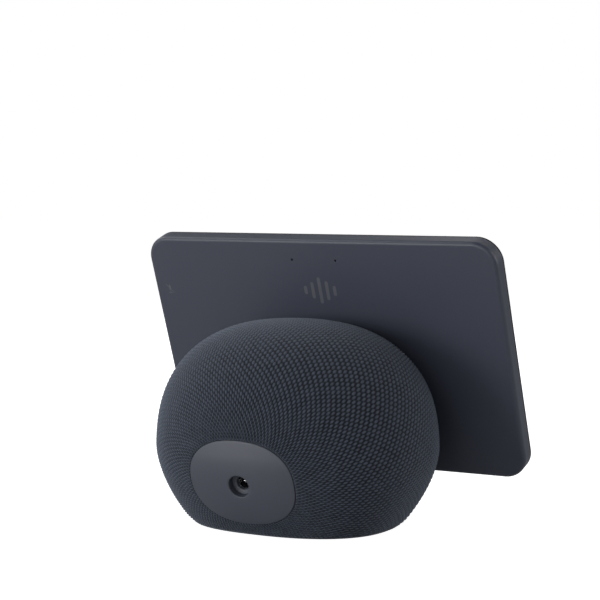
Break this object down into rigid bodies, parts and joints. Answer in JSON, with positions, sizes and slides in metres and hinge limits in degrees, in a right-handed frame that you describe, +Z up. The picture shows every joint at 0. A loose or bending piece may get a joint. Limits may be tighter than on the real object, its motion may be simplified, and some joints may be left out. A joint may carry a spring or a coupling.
{
  "type": "smart display",
  "caption": "Tabletop smart display: tilted slab screen fixed to the cut front of a knit-covered rounded speaker base, with a rear power socket.",
  "frame": {"origin": "on the surface it stands on, under the middle of the whole object", "axes": "+Z up; the screen faces -Y; +X is on the right of someone who looks at the screen, and the side keys are on that edge"},
  "size_m": [0.21, 0.1272, 0.1495],
  "materials": {
    "graphite_plastic": "fine moulded satin, dark blue-grey",
    "knit_fabric": "stretched knit with fine ribs, charcoal",
    "black_plastic": "moulded, fine texture",
    "cover_glass": "polished, black-backed",
    "lcd_glass": "polarised panel, switched off",
    "diffuser_white": "light guide and diffuser",
    "cast_aluminium": "cast and machined",
    "zinc_steel": "plated",
    "gold_contact": "plated",
    "circuit_board": "solder mask",
    "ferrite": "sintered",
    "speaker_cone": "pressed pulp",
    "black_rubber": "matt",
    "polyimide": "flexible circuit"
  },
  "bodies": {
    "device": {"rear_cover": "graphite_plastic", "rear_plate": "graphite_plastic", "fabric_cover": "knit_fabric", "front_frame": "black_plastic", "camera_module": "black_plastic", "light_sensor": "black_plastic", "lower_housing": "black_plastic", "upper_housing": "black_plastic", "front_baffle": "black_plastic", "power_jack_body": "black_plastic", "enclosure_floor": "black_plastic", "woofer_baffle": "black_plastic", "left_driver_frame": "black_plastic", "right_driver_frame": "black_plastic", "base_plate": "black_plastic", "front_glass": "cover_glass", "camera_lens": "cover_glass", "lcd_panel": "lcd_glass", "backlight_unit": "diffuser_white", "neck_bracket": "cast_aluminium", "heat_spreader": "cast_aluminium", "display_chassis": "zinc_steel", "mic_off_switch": "zinc_steel", "volume_up_switch": "zinc_steel", "volume_down_switch": "zinc_steel", "neck_screw_1": "zinc_steel", "neck_screw_2": "zinc_steel", "neck_screw_3": "zinc_steel", "neck_screw_4": "zinc_steel", "base_screw_1": "zinc_steel", "base_screw_2": "zinc_steel", "base_screw_3": "zinc_steel", "base_screw_4": "zinc_steel", "ballast_weight": "zinc_steel", "main_board_shield": "zinc_steel", "woofer_basket": "zinc_steel", "power_jack_pin": "zinc_steel", "power_jack_contact": "zinc_steel", "mic_left": "gold_contact", "mic_right": "gold_contact", "display_board": "circuit_board", "mic_board": "circuit_board", "button_board": "circuit_board", "power_board": "circuit_board", "main_board": "circuit_board", "antenna_left": "circuit_board", "antenna_right": "circuit_board", "woofer_magnet": "ferrite", "left_driver_magnet": "ferrite", "right_driver_magnet": "ferrite", "woofer_cone": "speaker_cone", "woofer_dust_cap": "speaker_cone", "left_driver_cone": "speaker_cone", "right_driver_cone": "speaker_cone", "woofer_surround": "black_rubber", "foot_pad": "black_rubber", "display_cable": "polyimide"},
    "mic_off_button": {"mic_off_button": "graphite_plastic"},
    "volume_up_button": {"volume_up_button": "graphite_plastic"},
    "volume_down_button": {"volume_down_button": "graphite_plastic"}
  },
  "joints": [
    {"name": "mic_off_press", "type": "slide", "parent": "device", "child": "mic_off_button", "axis": [-1, 0, 0], "range_m": [0, 0.0005], "stiffness_N_per_m": 1200},
    {"name": "volume_up_press", "type": "slide", "parent": "device", "child": "volume_up_button", "axis": [-1, 0, 0], "range_m": [0, 0.0005], "stiffness_N_per_m": 1200},
    {"name": "volume_down_press", "type": "slide", "parent": "device", "child": "volume_down_button", "axis": [-1, 0, 0], "range_m": [0, 0.0005], "stiffness_N_per_m": 1200}
  ]
}
